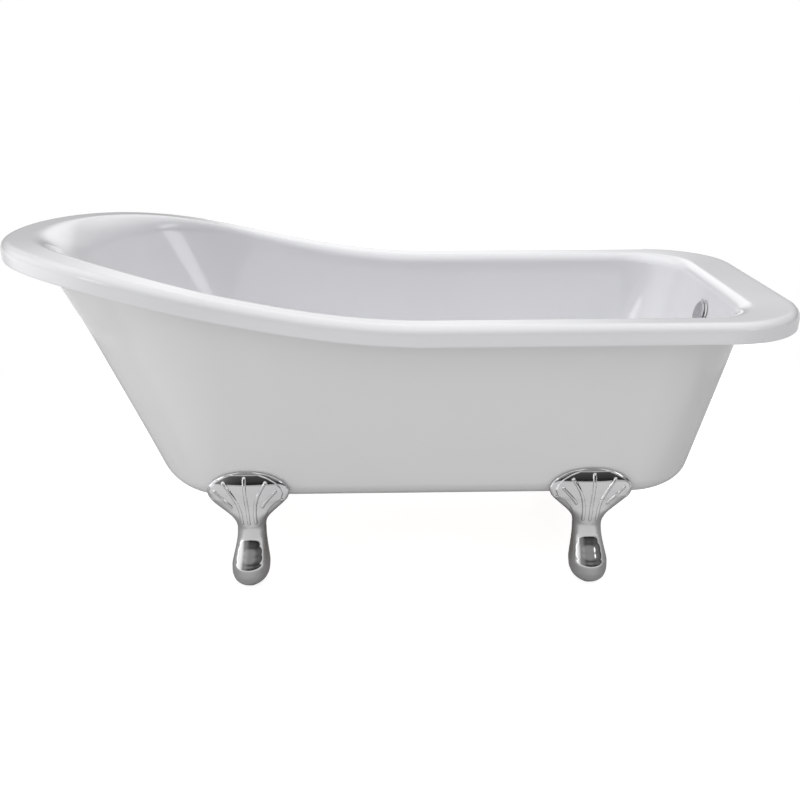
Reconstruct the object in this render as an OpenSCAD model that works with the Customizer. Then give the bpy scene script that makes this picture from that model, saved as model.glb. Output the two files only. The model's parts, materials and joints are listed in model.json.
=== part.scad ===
// Freestanding single-ended slipper bath on four cast fan feet, with a pop-up waste.
// Millimetres. Origin on the floor under the middle of the rim, +X to the foot end, +Z up.

/* [Rim] */
// length over the rim
rim_length = 1700; // [1690:5:1710]
// width over the rim
rim_width = 750; // [744:2:756]
// height of the rim at the foot end
foot_rim_z = 615; // [612:1:618]
// height of the rim at the raised head end
head_rim_z = 745.7; // [735:1:755]
// depth of the skirt that hangs from the rim
skirt_depth = 39.8; // [37:0.5:42]
// radius of the rim's outer top edge
rim_edge_r = 18; // [14:1:20]
// width of the tap deck at the foot end
deck_width = 95; // [92:1:98]

/* [Outer skin] */
// height of the underside
skin_bottom_z = 200.3; // [199:0.5:202]
// radius between the sides and the underside
skin_bottom_r = 42.8; // [38:1:46]
// thickness of the outer skin
skin_wall = 5; // [4.5:0.5:5.5]

/* [Well] */
// height of the floor beside the waste
floor_z = 236; // [235:0.5:238]
// thickness of the shell
shell_wall = 6; // [5.5:0.5:6.5]

/* [Feet] */
// distance of the head feet from the middle
head_leg_x = -307; // [-312:1:-302]
// distance of the foot-end feet from the middle
foot_leg_x = 431; // [426:1:436]
// outward sweep of each toe
toe_sweep = 9; // [0:1:12]

/* [Waste and overflow] */
// position of the waste along the bath
waste_x = 420; // [416:1:424]
// height of the overflow control
overflow_z = 534; // [532:1:536]

/* [Hidden] */

half_length = rim_length / 2;
half_width = rim_width / 2;

// Points around every horizontal outline: head curve, side, corner, end, then mirrored.
head_steps = 16;
side_steps = 6;
corner_steps = 8;
end_steps = 3;
corner_start = head_steps + side_steps;
end_start = corner_start + corner_steps;
half_steps = end_start + end_steps;
ring_count = 2 * half_steps;
ring_index = [for (i = [0:ring_count - 1]) i];

// Fields of an outline: head tip x, head curve length, head curve power, half width,
// inward taper of the sides, foot end x, foot corner radius, bow of the foot end.
HEAD_X = 0;
HEAD_A = 1;
POWER = 2;
HALF_W = 3;
TAPER = 4;
FOOT_X = 5;
CORNER_R = 6;
BOW = 7;

function half_index(i) = i <= half_steps ? i : ring_count - i;
function side_sign(i) = i <= half_steps ? 1 : -1;
function clamp01(v) = max(0, min(1, v));
function blend(a, b, f) = a + (b - a) * f;

// One point of an outline.
function plan_point(s, i) =
    let (k = half_index(i), sg = side_sign(i), h = s[HALF_W] - s[TAPER], r = s[CORNER_R])
    k <= head_steps ?
        let (t = 90 * k / head_steps, e = 2 / s[POWER])
        [s[HEAD_X] + s[HEAD_A] * (1 - pow(cos(t), e)), sg * s[HALF_W] * pow(sin(t), e)]
    : k <= corner_start ?
        let (u = (k - head_steps) / side_steps, x1 = s[HEAD_X] + s[HEAD_A])
        [blend(x1, s[FOOT_X] - r, u), sg * (s[HALF_W] - s[TAPER] * u)]
    : k <= end_start ?
        let (t = 90 - 90 * (k - corner_start) / corner_steps, y = h - r + r * sin(t))
        [s[FOOT_X] - r + r * cos(t) + s[BOW] * (1 - pow(y / h, 2)), sg * y]
    :
        let (u = (k - end_start) / end_steps, y = (h - r) * (1 - u))
        [s[FOOT_X] + s[BOW] * (1 - pow(y / h, 2)), sg * y];

// An outline moved inward by d.
function inset_shape(s, d) = [s[HEAD_X] + d, s[HEAD_A] - d, s[POWER], s[HALF_W] - d,
    s[TAPER], s[FOOT_X] - d, max(s[CORNER_R] - d, 14), s[BOW]];

// Rim height along the bath: level at the foot end, an S curve up to the head.
rise_start_x = 100.7;
rise_power = 1.026;
function rim_z(x) =
    let (t = pow(clamp01((rise_start_x - x) / (rise_start_x + half_length)), rise_power))
    foot_rim_z + (head_rim_z - foot_rim_z) * (0.5 - 0.5 * cos(180 * t));

head_power = 2.148;
rim_shape = [-half_length, 495.3, head_power, half_width, 11.5, half_length, 185.6, 0];
rim_tops = [for (i = ring_index) rim_z(plan_point(rim_shape, i)[0])];
rim_plan = [for (i = ring_index) plan_point(rim_shape, i)];

// Outward direction in plan at each point of the rim.
rim_out = [for (i = ring_index)
    let (a = rim_plan[(i + ring_count - 1) % ring_count], b = rim_plan[(i + 1) % ring_count],
        d = b - a, l = norm(d))
    [-d[1] / l, d[0] / l]];

// A ring parallel to the rim: inset in plan, dz from the rim top.
function rim_ring(inset, dz) = [for (i = ring_index)
    let (p = plan_point(inset_shape(rim_shape, inset), i)) [p[0], p[1], rim_tops[i] + dz]];

// Inner edge of the flat top of the rim, wide at the tap deck.
head_flat = 60;
side_flat = 55;
deck_fall = 0.028;
flat_shape = [-half_length + head_flat, 435, head_power, half_width - side_flat, 9,
    half_length - deck_width, 112, 2];
flat_ring = [for (i = ring_index)
    let (p = plan_point(flat_shape, i), d = norm(p - rim_plan[i]))
    [p[0], p[1], rim_tops[i] - deck_fall * (d - rim_edge_r)]];

// Outline of the well at height z.
well_top_z = 597;
function well_shape(z) =
    let (d = well_top_z - z, q = max(d, 0))
    [-452 - 0.58 * (z - 245), 175 + 0.38 * (z - 245), head_power, 299 - 0.15 * d, 8,
        729 - 0.1 * d - 0.0011 * q * q, 130 + 0.06 * d, 5];

// Drop of the roll from the rim into the well, deeper and softer at the head.
function head_weight(i) = let (k = half_index(i)) k < head_steps
    ? pow(cos(90 * k / head_steps), 1.5) : 0;
roll_drop = [for (i = ring_index) 22 + 40 * head_weight(i)];
roll_turn = [for (i = ring_index) 81 - 21 * head_weight(i)];
wall_top_z = [for (i = ring_index) flat_ring[i][2] - roll_drop[i]];
wall_top = [for (i = ring_index) plan_point(well_shape(wall_top_z[i]), i)];

// Roll between the flat rim and the well wall, f from 0 to 1.
function roll_point(i, f) =
    let (t = roll_turn[i], a = t * f, h = sin(a) / sin(t), v = (1 - cos(a)) / (1 - cos(t)))
    [blend(flat_ring[i][0], wall_top[i][0], h), blend(flat_ring[i][1], wall_top[i][1], h),
        flat_ring[i][2] - roll_drop[i] * v];
function roll_ring(f) = [for (i = ring_index) roll_point(i, f)];
function roll_back_ring(f) = [for (i = ring_index)
    let (p = roll_point(i, f), a = roll_turn[i] * f, o = rim_out[i] * sin(a) * shell_wall)
    [p[0] + o[0], p[1] + o[1], p[2] - shell_wall * cos(a)]];

// Floor of the well: falls gently to the waste.
floor_fall = 0.007;
fillet_h = 70;
fillet_v = 62;
floor_edge = [for (i = ring_index)
    plan_point(inset_shape(well_shape(floor_z), fillet_h), i)];
floor_tops = [for (i = ring_index)
    floor_z + floor_fall * norm(floor_edge[i] - [waste_x, 0])];

// Well wall, f from 0 under the roll to 1 at the floor fillet; t moves it outward.
function wall_ring(f, t) = [for (i = ring_index)
    let (z = blend(wall_top_z[i], floor_tops[i] + fillet_v, f),
        p = plan_point(well_shape(z), i), o = rim_out[i] * t)
    [p[0] + o[0], p[1] + o[1], z]];

// Fillet between wall and floor, a from 0 on the wall to 90 on the floor.
function fillet_ring(a) = [for (i = ring_index)
    let (z = floor_tops[i] + fillet_v * (1 - sin(a)),
        s = inset_shape(well_shape(z), fillet_h * (1 - cos(a))), p = plan_point(s, i))
    [p[0], p[1], z]];
board_top_z = 224;
bed_gap = 0.3;
function fillet_back_ring(a) = [for (i = ring_index)
    let (f = fillet_ring(a)[i], o = rim_out[i] * shell_wall * cos(a),
        thick = floor_tops[i] - board_top_z - bed_gap)
    [f[0] + o[0], f[1] + o[1], f[2] - thick * sin(a)]];

// Rings of the floor around the waste hole.
waste_hole_r = 26.5;
recess_r = 40;
recess_depth = 4;
function waste_ring(r, z) = [for (i = ring_index)
    let (d = floor_edge[i] - [waste_x, 0], l = norm(d))
    [waste_x + d[0] * r / l, d[1] * r / l, z]];
function floor_ring(f) = [for (i = ring_index)
    let (e = fillet_ring(90)[i], w = waste_ring(recess_r + 4, floor_z)[i]) blend(e, w, f)];
function bed_ring(f) = [for (i = ring_index)
    let (e = fillet_back_ring(90)[i], w = waste_ring(waste_hole_r, board_top_z + bed_gap)[i])
    blend(e, w, f)];

// Closed solid through rings of equal length; the last ring joins the first.
module ring_solid(rings) {
    n = len(rings[0]);
    m = len(rings);
    points = [for (ring = rings) for (p = ring) p];
    faces = [for (j = [0:m - 1]) for (i = [0:n - 1])
        let (a = j * n + i, b = j * n + (i + 1) % n,
            c = ((j + 1) % m) * n + (i + 1) % n, d = ((j + 1) % m) * n + i)
        each [[a, b, c], [a, c, d]]];
    polyhedron(points = points, faces = faces, convexity = 8);
}

// Inclined frame of the overflow control: z axis points into the well.
overflow_d = well_top_z - overflow_z;
overflow_wall_x = plan_point(well_shape(overflow_z), half_steps)[0];
overflow_lean = atan(0.1 + 0.0022 * overflow_d);
overflow_hole_r = 20;
module at_overflow() {
    translate([overflow_wall_x, 0, overflow_z])
    rotate([0, -90 + overflow_lean, 0])
    children();
}

module bath_shell() {
    arc_steps = [22.5, 45, 67.5, 90];
    inner_r = rim_edge_r - shell_wall;
    rings = concat(
        [rim_ring(1, -skirt_depth), rim_ring(0, -skirt_depth + 1.5), rim_ring(0, -rim_edge_r)],
        [for (a = arc_steps)
            rim_ring(rim_edge_r * (1 - cos(a)), -rim_edge_r * (1 - sin(a)))],
        [[for (i = ring_index) blend(rim_ring(rim_edge_r, 0)[i], flat_ring[i], 0.6)],
            flat_ring],
        [for (f = [0.2:0.2:1]) roll_ring(f)],
        [for (f = [0.12, 0.3, 0.5, 0.7, 0.86, 1]) wall_ring(f, 0)],
        [for (a = [15:15:90]) fillet_ring(a)],
        [for (f = [0.35, 0.65, 0.88, 1]) floor_ring(f)],
        [waste_ring(recess_r, floor_z - recess_depth),
            waste_ring(waste_hole_r, floor_z - recess_depth)],
        [bed_ring(1), bed_ring(0.5), fillet_back_ring(90), fillet_back_ring(60),
            fillet_back_ring(30), wall_ring(1, shell_wall), wall_ring(0.6, shell_wall),
            wall_ring(0.25, shell_wall)],
        [for (f = [1, 0.7, 0.35, 0]) roll_back_ring(f)],
        [rim_ring(rim_edge_r, -shell_wall),
            rim_ring(shell_wall + inner_r * (1 - cos(45)),
                -rim_edge_r + inner_r * sin(45)),
            rim_ring(shell_wall, -rim_edge_r), rim_ring(shell_wall, -skirt_depth)]);
    color([0.95, 0.95, 0.96])
    difference() {
        ring_solid(rings);
        at_overflow()
        cylinder(r = overflow_hole_r, h = 60, center = true, $fn = 64);
    }
}

// Outline of the outer skin at height z.
function skin_shape(z) =
    let (h = z - skin_bottom_z, w = clamp01(h / 380))
    [-533.3 - 0.444 * h, 174.7 + 195 * w, 2.1, 285.9 + 0.15 * h, 11.5,
        644 + 0.254 * h, 123.5 + 76.5 * w, 26];
flange_low = -37;
flange_high = -32;
flange_inset = 7.6;
flange_flat = 16;

// Side of the skin, f from 0 above the bottom radius to 1 at the flange; t moves it inward.
function side_ring(f, t, dz) = [for (i = ring_index)
    let (z = blend(skin_bottom_z + skin_bottom_r, rim_tops[i] + dz, f),
        p = plan_point(inset_shape(skin_shape(z), t), i))
    [p[0], p[1], z]];
function bottom_ring(a, t) = [for (i = ring_index)
    let (r = skin_bottom_r - t, z = skin_bottom_z + t + r * (1 - cos(a)),
        p = plan_point(inset_shape(skin_shape(z), t + r * (1 - sin(a))), i))
    [p[0], p[1], z]];
lip_inset = skin_bottom_r + 15;
function lip_ring(t) = [for (i = ring_index)
    let (p = plan_point(inset_shape(skin_shape(skin_bottom_z), lip_inset), i))
    [p[0], p[1], skin_bottom_z + t]];

module outer_skin() {
    rings = concat(
        [lip_ring(0)],
        [for (a = [0, 25, 50, 75]) bottom_ring(a, 0)],
        [for (f = [0, 0.25, 0.5, 0.75, 1]) side_ring(f, 0, flange_low)],
        [rim_ring(flange_flat, flange_low), rim_ring(flange_inset, flange_low),
            rim_ring(flange_inset, flange_high), rim_ring(flange_flat, flange_high),
            side_ring(1, skin_wall, flange_high), side_ring(0.75, skin_wall, flange_high),
            side_ring(0.5, skin_wall, flange_high), side_ring(0.25, skin_wall, flange_high),
            side_ring(0, skin_wall, flange_high)],
        [for (a = [65, 35, 0]) bottom_ring(a, skin_wall)],
        [lip_ring(skin_wall)]);
    color([0.93, 0.93, 0.94])
    ring_solid(rings);
}

module rim_bead() {
    bead_low = flange_high + 1.5;
    color([0.86, 0.86, 0.84])
    ring_solid([rim_ring(shell_wall + 0.2, bead_low),
        rim_ring(shell_wall + 7, bead_low),
        rim_ring(shell_wall + 5, flange_high + 5),
        rim_ring(shell_wall + 0.2, flange_high + 9)]);
}

// Half width of the outer skin at x and height z, ahead of its foot corners.
function skin_half_y(x, z) =
    let (s = skin_shape(z), x1 = s[HEAD_X] + s[HEAD_A],
        u = clamp01((x - x1) / (s[FOOT_X] - s[CORNER_R] - x1)),
        q = clamp01((x1 - x) / s[HEAD_A]))
    s[HALF_W] * pow(1 - pow(q, s[POWER]), 1 / s[POWER]) - s[TAPER] * u;

// Feet. Local frame: x along the bath, y outward from the skin's bottom width, z up.
function leg_side_y(x) = 285.9 - 11.5 * clamp01((x + 358) / 884);
leg_sites = [[head_leg_x, -1, -1], [head_leg_x, 1, -1], [foot_leg_x, -1, 1], [foot_leg_x, 1, 1]];
bolt_u = 22;
bolt_v = -86;
stem_v = 8;

// Foot profile: height, half width, middle, edge thickness, front bulge, back bulge.
leg_profile = [
    [8, 20, 8, 0, 26, 24],
    [13, 30, 8, 0, 34, 31],
    [23, 37.5, 8, 0, 42, 37],
    [38, 41.5, 8, 0, 46, 40],
    [54, 42, 8, 0, 46, 42],
    [68, 40, 6, 0, 43, 40],
    [84, 37, 3, 0, 38, 37],
    [102, 34, 0, 0, 32, 34],
    [122, 31.8, -2, 0, 27, 31],
    [140, 31.4, -3, 0, 26, 29],
    [155, 34, -2, 1, 25, 26],
    [168, 41, 0, 2, 23, 22],
    [180, 51, 2, 4, 19, 16],
    [193, 64, 4, 5, 15, 9],
    [206, 77, 4.6, 6, 14, 4],
    [218, 86, 4.8, 7, 14.1, 1],
    [230, 89, 5.4, 7, 14.1, 0],
    [244, 84, 7.3, 6, 12.7, 0],
    [250, 79.5, 8.4, 5.8, 11.2, 0],
    [256, 73.5, 9.3, 5.5, 9.2, 0],
    [266, 58, 10.8, 4.6, 5.6, 0],
    [273, 41, 11.9, 4, 2.7, 0],
    [278, 16, 12.7, 2.5, 1, 0]];
front_steps = 20;
back_steps = 12;

// One horizontal slice of a foot at bath position x; its fan follows the side of the skin.
function leg_ring(q, x, turn) =
    let (w = q[1], follow = clamp01((q[0] - 180) / 30),
        sweep = toe_sweep * turn * pow(clamp01((135 - q[0]) / 120), 1.2),
        skin_y = skin_half_y(x, q[0]))
    concat(
        [for (k = [0:front_steps])
            let (c = -cos(180 * k / front_steps), r = sqrt(max(0, 1 - c * c)))
            [w * c + sweep, q[2] + q[3] + q[4] * r
                + follow * (skin_half_y(x + w * c, q[0]) - skin_y), q[0]]],
        [for (k = [1:back_steps - 1])
            let (c = cos(180 * k / back_steps), r = sqrt(max(0, 1 - c * c)))
            [w * c + sweep, q[2] - 0.05 - q[5] * r
                + follow * (skin_half_y(x + w * c, q[0]) - skin_y), q[0]]]);

// Closed solid through rings with flat end caps.
module capped_solid(rings) {
    n = len(rings[0]);
    m = len(rings);
    points = [for (ring = rings) for (p = ring) p];
    faces = concat(
        [[for (i = [0:n - 1]) n - 1 - i]],
        [[for (i = [0:n - 1]) (m - 1) * n + i]],
        [for (j = [0:m - 2]) for (i = [0:n - 1])
            let (a = j * n + i, b = j * n + (i + 1) % n, c = b + n, d = a + n)
            each [[a, c, d], [a, b, c]]]);
    polyhedron(points = points, faces = faces, convexity = 6);
}

lug_top_z = 199.8;
lug_low_z = 184;
boss_top_z = 205.6;
module leg(x, turn) {
    stem_bore = 5.05;
    color([0.78, 0.78, 0.8])
    difference() {
        union() {
            capped_solid([for (q = leg_profile) leg_ring(q, x, turn)]);
            translate([-36, -104, lug_low_z])
            cube([72, 106, lug_top_z - lug_low_z]);
            for (u = [-bolt_u, bolt_u])
                translate([u, bolt_v, lug_low_z])
                cylinder(r = 13, h = boss_top_z - lug_low_z, $fn = 48);
        }
        for (u = [-bolt_u, bolt_u])
            translate([u, bolt_v, lug_low_z - 1])
            cylinder(r = 4.5, h = 40, $fn = 48);
        translate([toe_sweep * turn, stem_v, 0])
        cylinder(r = stem_bore, h = 62, $fn = 48);
    }
}

module at_leg(site) {
    translate([site[0], site[1] * leg_side_y(site[0]), 0])
    scale([1, site[1], 1])
    children();
}

module placed_leg(k) {
    at_leg(leg_sites[k])
    leg(leg_sites[k][0], leg_sites[k][2]);
}

module leg_head_front() { placed_leg(0); }
module leg_head_back() { placed_leg(1); }
module leg_foot_front() { placed_leg(2); }
module leg_foot_back() { placed_leg(3); }

module at_bolts() {
    for (site = leg_sites)
        for (u = [-bolt_u, bolt_u])
            translate([site[0] + u, site[1] * (leg_side_y(site[0]) + bolt_v), 0])
            children();
}

module leg_bolts() {
    head_h = 5.3;
    color([0.7, 0.7, 0.72])
    at_bolts() {
        translate([0, 0, lug_low_z - 1.8 - head_h])
        cylinder(r = 7.5, h = head_h, $fn = 6);
        translate([0, 0, lug_low_z - 2])
        cylinder(r = 4, h = 222 - lug_low_z + 2, $fn = 48);
    }
}

module leg_washers() {
    color([0.7, 0.7, 0.72])
    at_bolts()
    translate([0, 0, lug_low_z - 1.8])
    difference() {
        cylinder(r = 9, h = 1.6, $fn = 48);
        translate([0, 0, -1])
        cylinder(r = 4.3, h = 4, $fn = 48);
    }
}

board_low_z = 206;
module board_inserts() {
    color([0.72, 0.62, 0.35])
    at_bolts()
    difference() {
        union() {
            translate([0, 0, board_low_z - 0.2])
            cylinder(r = 11, h = 1.6, $fn = 48);
            translate([0, 0, board_low_z])
            cylinder(r = 6, h = 17, $fn = 48);
        }
        translate([0, 0, board_low_z - 2])
        cylinder(r = 4.15, h = 30, $fn = 48);
    }
}

module base_board() {
    board_shape = inset_shape(skin_shape(skin_bottom_z), lip_inset - 9);
    board_end_x = 540;
    color([0.75, 0.65, 0.5])
    difference() {
        translate([0, 0, board_low_z])
        linear_extrude(board_top_z - board_low_z)
        intersection() {
            polygon([for (i = ring_index) plan_point(board_shape, i)]);
            translate([-half_length, -half_width])
            square([half_length + board_end_x, rim_width]);
        }
        translate([waste_x, 0, board_low_z - 1])
        cylinder(r = 52, h = 30, $fn = 96);
        at_bolts() {
            translate([0, 0, board_low_z - 1])
            cylinder(r = 6.1, h = 30, $fn = 48);
            translate([0, 0, board_low_z - 1])
            cylinder(r = 11.2, h = 2.6, $fn = 48);
        }
    }
}

// Levelling stems turn out of the toes; each stands on its own pad.
module leveller(k) {
    site = leg_sites[k];
    color([0.72, 0.72, 0.74])
    at_leg(site)
    translate([toe_sweep * site[2], stem_v, 0]) {
        translate([0, 0, 4])
        cylinder(r = 5, h = 48, $fn = 48);
        translate([0, 0, 3])
        cylinder(r = 9, h = 3.5, $fn = 6);
    }
}

module leveller_pad(k) {
    site = leg_sites[k];
    color([0.16, 0.16, 0.17])
    at_leg(site)
    translate([toe_sweep * site[2], stem_v, 0])
    rotate_extrude($fn = 64)
    polygon([[0, 0], [15, 0], [16, 1], [16, 4], [14.5, 6.2], [9.6, 6.2], [9.6, 2.9], [0, 2.9]]);
}

module leveller_head_front() { leveller(0); }
module leveller_head_back() { leveller(1); }
module leveller_foot_front() { leveller(2); }
module leveller_foot_back() { leveller(3); }
module pad_head_front() { leveller_pad(0); }
module pad_head_back() { leveller_pad(1); }
module pad_foot_front() { leveller_pad(2); }
module pad_foot_back() { leveller_pad(3); }

// Overflow and waste control, built on the inclined axis of the end wall.
spindle_r = 4;
spindle_bore = 4.05;
collar_r = 19.2;
body_back = -shell_wall - 13.2;
seal_h = 2.2;
module overflow_plate() {
    color([0.8, 0.8, 0.82])
    at_overflow()
    difference() {
        rotate_extrude($fn = 96)
        polygon([[7, 1], [20, 1.35], [34, 2.3], [34, 3.1], [32.8, 4.1], [28, 4.4], [7, 4.4]]);
        for (a = [0:45:315])
            rotate([0, 0, a])
            translate([12.2, 0, -1])
            cylinder(r = 3.2, h = 8, $fn = 32);
    }
}

module overflow_seal() {
    color([0.12, 0.12, 0.12])
    at_overflow()
    translate([0, 0, -shell_wall - 0.6 - seal_h])
    difference() {
        cylinder(r = 29, h = seal_h, $fn = 96);
        translate([0, 0, -1])
        cylinder(r = collar_r + 0.3, h = seal_h + 2, $fn = 96);
    }
}

duct_lean = 19.6;
duct_len = 107;
duct_top = [overflow_wall_x + 6.6, 0, overflow_z - 33];
duct_dir = [-sin(duct_lean), 0, -cos(duct_lean)];
duct_half = 16;
spigot_r = 9;
spigot_len = 22;
module at_duct() {
    translate(duct_top)
    rotate([0, duct_lean, 0])
    children();
}

module overflow_body() {
    disc_h = 9.8;
    drop = 34;
    color([0.9, 0.9, 0.88])
    difference() {
        union() {
            at_overflow() {
                translate([0, 0, body_back])
                cylinder(r = 30, h = disc_h, $fn = 96);
                translate([0, 0, body_back])
                cylinder(r = collar_r, h = -body_back + 0.4, $fn = 96);
                translate([-drop, -duct_half, body_back + 0.4])
                cube([drop, 2 * duct_half, 9.2]);
            }
            at_duct() {
                translate([-4.2, -duct_half + 0.7, -duct_len])
                cube([8.4, 2 * duct_half - 1.4, duct_len + 6]);
                translate([0, 0, -duct_len - spigot_len])
                cylinder(r = spigot_r, h = spigot_len + 5, $fn = 48);
            }
        }
        at_overflow() {
            translate([0, 0, body_back + 2])
            cylinder(r = 16.4, h = 40, $fn = 96);
            translate([3 - drop, -duct_half + 3, body_back + 2.6])
            cube([drop - 6, 2 * duct_half - 6, 5]);
        }
        at_duct() {
            translate([-2.2, -duct_half + 4, -duct_len + 3])
            cube([4.4, 2 * duct_half - 8, duct_len + 7]);
            translate([0, 0, -duct_len - spigot_len - 1])
            cylinder(r = 6.4, h = spigot_len - 1, $fn = 48);
            translate([-1.8, -5, -duct_len - 4])
            cube([3.6, 10, 9]);
        }
    }
    color([0.9, 0.9, 0.88])
    at_overflow()
    spindle_guide();
}

// Bearing of the spindle at the bottom of the collar, carried by four webs.
module spindle_guide() {
    difference() {
        union() {
            translate([0, 0, body_back + 1])
            cylinder(r = 6.4, h = 12, $fn = 48);
            for (a = [45, 135])
                rotate([0, 0, a])
                translate([-17, -1.2, body_back + 4])
                cube([34, 2.4, 5]);
        }
        translate([0, 0, body_back - 2])
        cylinder(r = spindle_bore, h = 40, $fn = 48);
    }
}

module overflow_spindle() {
    color([0.72, 0.62, 0.35])
    at_overflow()
    difference() {
        translate([0, 0, body_back + 2.4])
        cylinder(r = spindle_r, h = -body_back + 4.6, $fn = 48);
        translate([0, 0, 1])
        cylinder(r = 1.7, h = 20, $fn = 32);
    }
}

knob_r = 27;
knob_low = 4.9;
knob_face = 8.7;
knob_web = 7.9;
module overflow_knob() {
    color([0.8, 0.8, 0.82])
    at_overflow()
    difference() {
        rotate_extrude($fn = 128)
        polygon([[0, 0.5], [6.4, 0.5], [6.4, knob_low], [knob_r - 0.8, knob_low],
            [knob_r, knob_low + 0.8], [knob_r, 8.4], [knob_r - 0.8, 9.2], [knob_r - 2.4, 9.3],
            [knob_r - 4.6, 8.9], [0, knob_face]]);
        translate([0, 0, -1])
        cylinder(r = spindle_r + 0.02, h = 8.1, $fn = 48);
        translate([0, 0, 4])
        cylinder(r = 1.9, h = 20, $fn = 32);
        translate([0, 0, knob_web])
        cylinder(r = 4.1, h = 6, $fn = 48);
    }
}

module knob_screw() {
    color([0.8, 0.8, 0.82])
    at_overflow() {
        translate([0, 0, knob_web + 0.05])
        cylinder(r = 3.9, h = 1.05, $fn = 48);
        translate([0, 0, 2])
        cylinder(r = 1.6, h = 6.4, $fn = 32);
    }
}

// Smooth path through control points of a cubic curve.
function curve_point(c, t) = pow(1 - t, 3) * c[0] + 3 * pow(1 - t, 2) * t * c[1]
    + 3 * (1 - t) * t * t * c[2] + pow(t, 3) * c[3];
function curve_path(c, n) = [for (k = [0:n]) curve_point(c, k / n)];

// Rings of a round section along a path, n points each.
function path_dir(path, k) =
    let (a = path[max(k - 1, 0)], b = path[min(k + 1, len(path) - 1)]) (b - a) / norm(b - a);
function tube_rings(path, r, n) = [for (k = [0:len(path) - 1])
    let (d = path_dir(path, k), raw = [0, 1, 0] - d[1] * d, u = raw / norm(raw), v = cross(d, u))
    [for (j = [0:n - 1]) path[k] + r * (cos(360 * j / n) * u + sin(360 * j / n) * v)]];
function reversed(list) = [for (k = [len(list) - 1:-1:0]) list[k]];

hose_start = duct_top + duct_dir * (duct_len + 1);
hose_bend = duct_top + duct_dir * (duct_len + spigot_len + 1);
inlet_z = 170;
hose_end = [waste_x + 38, 0, inlet_z];
hose_level = hose_end + [22, 0, 0];
hose_path = concat([hose_start],
    curve_path([hose_bend, hose_bend + duct_dir * 110, hose_level + [90, 0, 0], hose_level], 12),
    [hose_end]);
hose_sides = 16;
hose_bore_r = 9.1 / cos(180 / hose_sides);
module overflow_hose() {
    color([0.75, 0.75, 0.76])
    ring_solid(concat(tube_rings(hose_path, 10.6, hose_sides),
        reversed(tube_rings(hose_path, hose_bore_r, hose_sides))));
}

module hose_clip() {
    difference() {
        cylinder(r = 12.3, h = 7, $fn = 48);
        translate([0, 0, -1])
        cylinder(r = 10.8, h = 9, $fn = 48);
    }
}

module hose_clips() {
    color([0.7, 0.7, 0.72]) {
        translate(hose_start + duct_dir * 3)
        rotate([0, 180 + duct_lean, 0])
        hose_clip();
        translate(hose_end + [3, 0, 0])
        rotate([0, 90, 0])
        hose_clip();
    }
}

cable_start = duct_top + duct_dir * 40 + [0, -18.6, 0];
cable_mid = duct_top + duct_dir * 135 + [-2, -30, 0];
cable_stop = [waste_x + 16, -50, 150];
cable_level = cable_stop + [18, 0, 0];
module lift_cable() {
    path = concat(curve_path([cable_start, cable_start + duct_dir * 40,
        cable_mid - duct_dir * 40, cable_mid], 5),
        [for (k = [1:9]) curve_point([cable_mid, cable_mid + duct_dir * 110,
            cable_level + [100, 0, 0], cable_level], k / 9)],
        [cable_stop]);
    color([0.15, 0.15, 0.16])
    capped_solid(tube_rings(path, 2.4, 10));
}

// Waste.
flange_r = 36;
tube_r = 24;
seat_z = floor_z - recess_depth;
module at_waste() {
    translate([waste_x, 0, 0])
    children();
}

stem_r = 4;
stem_guide_r = 4.05;
module waste_flange() {
    color([0.8, 0.8, 0.82])
    at_waste()
    difference() {
        union() {
            rotate_extrude($fn = 96)
            polygon([[20.5, 198], [tube_r, 198], [tube_r, seat_z + 1.3], [flange_r, seat_z + 1.3],
                [flange_r, seat_z + 2.6], [flange_r - 2, seat_z + 4.4], [28, seat_z + 4.4],
                [25, seat_z + 2.4], [20.5, seat_z + 2.4]]);
            translate([0, 0, 200])
            cylinder(r = 7, h = 16, $fn = 48);
            for (a = [0, 90])
                rotate([0, 0, a])
                translate([-21.5, -1.5, 202])
                cube([43, 3, 9]);
        }
        translate([0, 0, 190])
        cylinder(r = stem_guide_r, h = 40, $fn = 48);
    }
}

module waste_seal_top() {
    color([0.12, 0.12, 0.12])
    at_waste()
    translate([0, 0, seat_z + 0.1])
    difference() {
        cylinder(r = 35, h = 1.1, $fn = 96);
        translate([0, 0, -1])
        cylinder(r = tube_r + 0.3, h = 4, $fn = 96);
    }
}

body_top_z = 221.6;
module waste_seal_bottom() {
    color([0.12, 0.12, 0.12])
    at_waste()
    translate([0, 0, body_top_z + 0.1])
    difference() {
        cylinder(r = 38, h = 2.4, $fn = 96);
        translate([0, 0, -1])
        cylinder(r = tube_r + 0.4, h = 5, $fn = 96);
    }
}

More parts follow.
